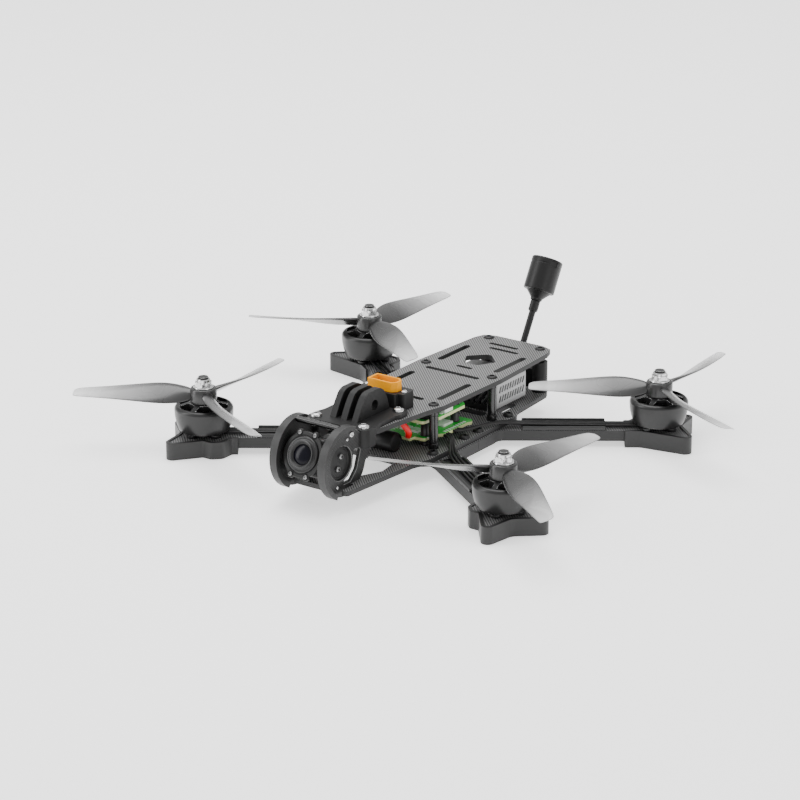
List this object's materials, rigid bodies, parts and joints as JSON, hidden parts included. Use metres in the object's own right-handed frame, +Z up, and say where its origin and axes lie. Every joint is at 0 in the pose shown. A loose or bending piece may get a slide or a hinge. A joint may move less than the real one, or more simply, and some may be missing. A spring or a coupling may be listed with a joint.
{
  "type": "quadcopter drone",
  "caption": "Open-frame quadcopter with carbon plates, outrunner motors, three-blade propellers, tilting nose camera and rear antenna.",
  "frame": {"origin": "on the underside of the belly plate, at the centre of the rectangle of the four motor axes", "axes": "+Z up; the nose and its camera point along -Y; +X is the machine's left side"},
  "size_m": [0.2967, 0.247, 0.0744],
  "materials": {
    "carbon_plate": "satin woven carbon-fibre laminate",
    "soft_charcoal": "matt printed TPU",
    "bell_black": "satin black anodised aluminium",
    "stator_core": "lacquered core and windings",
    "motor_casting": "satin black anodised aluminium",
    "screw_black": "black oxide",
    "nut_steel": "satin nickel",
    "prop_smoke": "translucent smoke polycarbonate",
    "camera_black": "satin",
    "lens": "coated",
    "cage_bar_metal": "satin anodised",
    "connector_amber": "semi-gloss nylon",
    "contact_gold": "gold plated",
    "board_green": "solder mask",
    "part_white": "moulded connectors and chips",
    "lead_red": "silicone",
    "lead_black": "silicone",
    "capacitor_black": "sleeve",
    "video_alloy": "bead-blasted",
    "button_white": "satin"
  },
  "bodies": {
    "frame": {"belly_plate": "carbon_plate", "main_plate": "carbon_plate", "top_plate": "carbon_plate", "camera_plate_left": "carbon_plate", "camera_plate_right": "carbon_plate", "arm_trays": "soft_charcoal", "camera_rim_left": "soft_charcoal", "camera_rim_right": "soft_charcoal", "action_camera_mount": "soft_charcoal", "connector_holder": "soft_charcoal", "antenna_mount": "soft_charcoal", "standoffs": "motor_casting", "frame_screws": "screw_black", "motor_screws": "screw_black", "cage_cross_bar": "cage_bar_metal", "power_connector": "connector_amber", "power_contacts": "contact_gold", "speed_controller": "board_green", "flight_controller": "board_green", "stack_posts": "screw_black", "board_parts": "part_white", "capacitor": "capacitor_black", "power_lead_red": "lead_red", "power_lead_black": "lead_black", "motor_leads": "lead_black", "video_unit": "video_alloy", "video_grille": "camera_black", "antenna_stem": "lead_black", "antenna_cap": "camera_black", "stators": "stator_core", "arm_front_right": "carbon_plate", "foot_front_right": "soft_charcoal", "motor_base_front_right": "motor_casting", "arm_rear_right": "carbon_plate", "foot_rear_right": "soft_charcoal", "motor_base_rear_right": "motor_casting", "arm_rear_left": "carbon_plate", "foot_rear_left": "soft_charcoal", "motor_base_rear_left": "motor_casting", "arm_front_left": "carbon_plate", "foot_front_left": "soft_charcoal", "motor_base_front_left": "motor_casting"},
    "camera": {"camera_housing": "camera_black", "camera_lens": "camera_black", "lens_glass": "lens", "camera_brackets": "camera_black", "camera_screws": "nut_steel"},
    "link_button": {"link_button": "button_white"},
    "rotor_front_right": {"rotor_bell_front_right": "bell_black", "propeller_front_right": "prop_smoke", "prop_nut_front_right": "nut_steel"},
    "rotor_rear_right": {"rotor_bell_rear_right": "bell_black", "propeller_rear_right": "prop_smoke", "prop_nut_rear_right": "nut_steel"},
    "rotor_rear_left": {"rotor_bell_rear_left": "bell_black", "propeller_rear_left": "prop_smoke", "prop_nut_rear_left": "nut_steel"},
    "rotor_front_left": {"rotor_bell_front_left": "bell_black", "propeller_front_left": "prop_smoke", "prop_nut_front_left": "nut_steel"}
  },
  "joints": [
    {"name": "camera_tilt", "type": "hinge", "parent": "frame", "child": "camera", "pos_m": [0, -0.0958, 0.0226], "axis": [-1, 0, 0], "range_deg": [-23, 15]},
    {"name": "link_button_press", "type": "slide", "parent": "frame", "child": "link_button", "axis": [0, 0, -1], "range_m": [0, 0.0005], "stiffness_N_per_m": 400},
    {"name": "rotor_spin_front_right", "type": "hinge", "parent": "frame", "child": "rotor_front_right", "pos_m": [-0.089, -0.0695, 0.02], "axis": [0, 0, 1], "continuous": true},
    {"name": "rotor_spin_rear_right", "type": "hinge", "parent": "frame", "child": "rotor_rear_right", "pos_m": [-0.089, 0.0695, 0.02], "axis": [0, 0, 1], "continuous": true},
    {"name": "rotor_spin_rear_left", "type": "hinge", "parent": "frame", "child": "rotor_rear_left", "pos_m": [0.089, 0.0695, 0.02], "axis": [0, 0, 1], "continuous": true},
    {"name": "rotor_spin_front_left", "type": "hinge", "parent": "frame", "child": "rotor_front_left", "pos_m": [0.089, -0.0695, 0.02], "axis": [0, 0, 1], "continuous": true}
  ]
}
